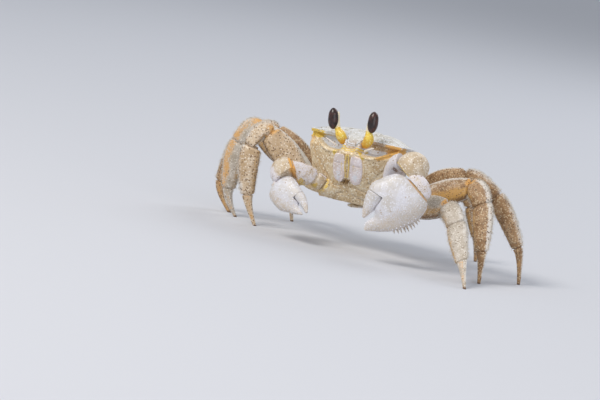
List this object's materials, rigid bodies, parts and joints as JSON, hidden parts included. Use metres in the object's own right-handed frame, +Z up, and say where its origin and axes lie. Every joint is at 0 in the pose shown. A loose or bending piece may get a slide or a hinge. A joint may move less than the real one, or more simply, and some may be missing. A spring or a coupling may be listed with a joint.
{
  "type": "ghost crab",
  "caption": "Life-size still model of a pale ghost crab standing on its walking legs with raised stalked eyes and unequal claws folded in front.",
  "frame": {"origin": "on the floor below the middle of the whole animal's outline", "axes": "+Z up, the crab faces -Y, its left side is +X; +X is the long way, across the spread legs"},
  "size_m": [0.1414, 0.0832, 0.0565],
  "materials": {
    "carapace_shell": "satin",
    "body_shell": "satin",
    "mouth_plate": "satin",
    "eyestalk": "semi-gloss",
    "cornea": "gloss",
    "claw_shell": "satin",
    "arm_shell": "satin",
    "leg_shell_golden": "satin",
    "leg_shell_cream": "satin"
  },
  "bodies": {
    "root": {"abdomen": "body_shell", "antenna_left": "mouth_plate", "antenna_right": "mouth_plate", "carapace": "carapace_shell", "claw_left_arm": "arm_shell", "claw_left_base": "arm_shell", "claw_left_finger": "claw_shell", "claw_left_palm": "claw_shell", "claw_left_wrist": "arm_shell", "claw_right_arm": "arm_shell", "claw_right_base": "arm_shell", "claw_right_finger": "claw_shell", "claw_right_palm": "claw_shell", "claw_right_wrist": "arm_shell", "eye_left": "cornea", "eye_right": "cornea", "eyestalk_left": "eyestalk", "eyestalk_right": "eyestalk", "face": "body_shell", "leg_left_1_carpus": "leg_shell_golden", "leg_left_1_dactyl": "leg_shell_golden", "leg_left_1_merus": "leg_shell_golden", "leg_left_1_propodus": "leg_shell_golden", "leg_left_2_carpus": "leg_shell_golden", "leg_left_2_dactyl": "leg_shell_golden", "leg_left_2_merus": "leg_shell_golden", "leg_left_2_propodus": "leg_shell_golden", "leg_left_3_carpus": "leg_shell_golden", "leg_left_3_dactyl": "leg_shell_golden", "leg_left_3_merus": "leg_shell_golden", "leg_left_3_propodus": "leg_shell_golden", "leg_left_4_carpus": "leg_shell_golden", "leg_left_4_dactyl": "leg_shell_golden", "leg_left_4_merus": "leg_shell_golden", "leg_left_4_propodus": "leg_shell_golden", "leg_right_1_carpus": "leg_shell_cream", "leg_right_1_dactyl": "leg_shell_cream", "leg_right_1_merus": "leg_shell_cream", "leg_right_1_propodus": "leg_shell_cream", "leg_right_2_carpus": "leg_shell_cream", "leg_right_2_dactyl": "leg_shell_cream", "leg_right_2_merus": "leg_shell_cream", "leg_right_2_propodus": "leg_shell_cream", "leg_right_3_carpus": "leg_shell_cream", "leg_right_3_dactyl": "leg_shell_cream", "leg_right_3_merus": "leg_shell_cream", "leg_right_3_propodus": "leg_shell_cream", "leg_right_4_carpus": "leg_shell_cream", "leg_right_4_dactyl": "leg_shell_cream", "leg_right_4_merus": "leg_shell_cream", "leg_right_4_propodus": "leg_shell_cream", "mouthpart_left": "mouth_plate", "mouthpart_right": "mouth_plate", "sternum": "body_shell"}
  },
  "joints": []
}
